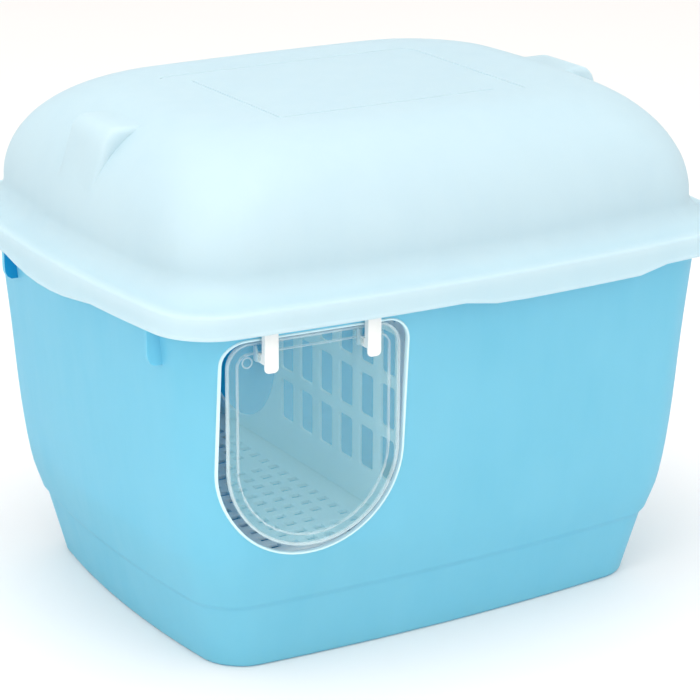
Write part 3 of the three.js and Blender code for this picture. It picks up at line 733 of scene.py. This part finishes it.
# The rim and the bead are thicker, so they look whiter than the sheet.
flap.data.materials.append(FLAP_EDGE)
for face in flap.data.polygons:
    spot = face.center / MM
    out = spot.x * math.sin(DOOR_TURN) - spot.y * math.cos(DOOR_TURN)
    proud = out > SHEET_FRONT + 0.05 or out < SHEET_BACK - 0.05
    on_edge = abs(out - (SHEET_FRONT + SHEET_BACK) / 2) < 0.98 and len(face.vertices) == 4
    if proud or on_edge:
        face.material_index = 1

# ---------------------------------------------------------------- hooks

# Profiles seen along the wall: a place out from the middle plane, and a height.
HOOK_ROOT = HOOK_BACK + 1            # within the strip
CHEEK_PROFILE = ([(HOOK_ROOT, HOOK_HIGH), (CHEEK_BACK, HOOK_HIGH), (CHEEK_BACK, PIN_Z + EYE_RADIUS)]
                 + bend((PIN_OUT, PIN_Z), EYE_RADIUS, 90, 270, 10)
                 + bend((228.5, PIN_Z - 1.85), 2, 270, 360, 4))
TONGUE_PROFILE = [(HOOK_ROOT, 322), (210.5, 322), (210.5, 331), (211.5, 332), (213.5, 332),
                  (213.5, 326), (HOOK_ROOT, 326)]
TONGUE_HALF = 5


def hook(u, name):
    """A white strip with two cheeks that hold the flap's pin, and a tongue that passes through the wall."""
    half, low, corner = HOOK_HALF, HOOK_LOW + HOOK_ROUND, HOOK_ROUND
    face = [(u - half, HOOK_HIGH)] + bend((u - half + corner, low), corner, 180, 270, 6)
    face += bend((u + half - corner, low), corner, 270, 360, 6) + [(u + half, HOOK_HIGH)]
    strip = plate(name, [at_door(p, HOOK_BACK, z) for p, z in face], at_door(0, HOOK_THICK, 0))
    soften(strip, 0.8, 3, 40)
    for start, end in ((-half, -half + CHEEK_THICK), (half - CHEEK_THICK, half)):
        weld(strip, plate("cheek", [at_door(u + start, out, z) for out, z in CHEEK_PROFILE],
                          along_wall(u + start, u + end)))
    cut(strip, rod("bore", BORE_RADIUS, u - BORE_HALF, u + BORE_HALF))
    tongue = plate("tongue", [at_door(u - TONGUE_HALF, out, z) for out, z in TONGUE_PROFILE],
                   at_door(2 * TONGUE_HALF, 0, 0))
    soften(tongue, 0.3, 2, 40)
    weld(strip, tongue)
    return strip


for u, node in zip(hook_places, ("door_hook_left", "door_hook_right")):
    complete(hook(u, node.replace("door_hook", "hook")), HOOK_PLASTIC, "box", [node])

# ---------------------------------------------------------------- studio

deselect()
bpy.ops.mesh.primitive_plane_add(size=24, location=(0, 4, 0))
floor = bpy.context.object
floor.name = "studio_floor"
paper = bpy.data.materials.new("studio_paper")
paper.use_nodes = True
tree = paper.node_tree
place = add(tree, "ShaderNodeTexCoord").outputs["Object"]
fibre = add(tree, "ShaderNodeTexNoise", {"Vector": place, "Scale": 3.0, "Detail": 2.0})
tint = add(tree, "ShaderNodeMix", {"Factor": fibre.outputs["Fac"], 6: linear("#f6f3f2"),
                                   7: linear("#f3f1f1")}, data_type="RGBA")
tree.links.new(tint.outputs[2], tree.nodes["Principled BSDF"].inputs["Base Color"])
tree.nodes["Principled BSDF"].inputs["Roughness"].default_value = 0.9
floor.data.materials.append(paper)

bpy.context.scene.view_settings.view_transform = "Standard"
world = bpy.data.worlds.new("studio")
bpy.context.scene.world = world
world.use_nodes = True
world.node_tree.nodes["Background"].inputs["Color"].default_value = (1.0, 0.985, 0.965, 1)
world.node_tree.nodes["Background"].inputs["Strength"].default_value = 1.0

# Soft lamps: name, place, what it faces, size in metres, watts.
for name, place, aim, size, power in (
    ("light_above", (-0.4, -0.3, 2.6), (0, 0, 0.3), 2.4, 30),
    ("light_left", (-2.6, -1.0, 1.4), (0, 0, 0.25), 1.6, 13),
    ("light_front", (0.6, -3.0, 1.6), (0, 0, 0.25), 2.0, 14),
):
    bpy.ops.object.light_add(type="AREA", location=place)
    lamp = bpy.context.object
    lamp.name = name
    lamp.rotation_euler = (Vector(place) - Vector(aim)).to_track_quat("Z", "Y").to_euler()
    lamp.data.size = size
    lamp.data.energy = power
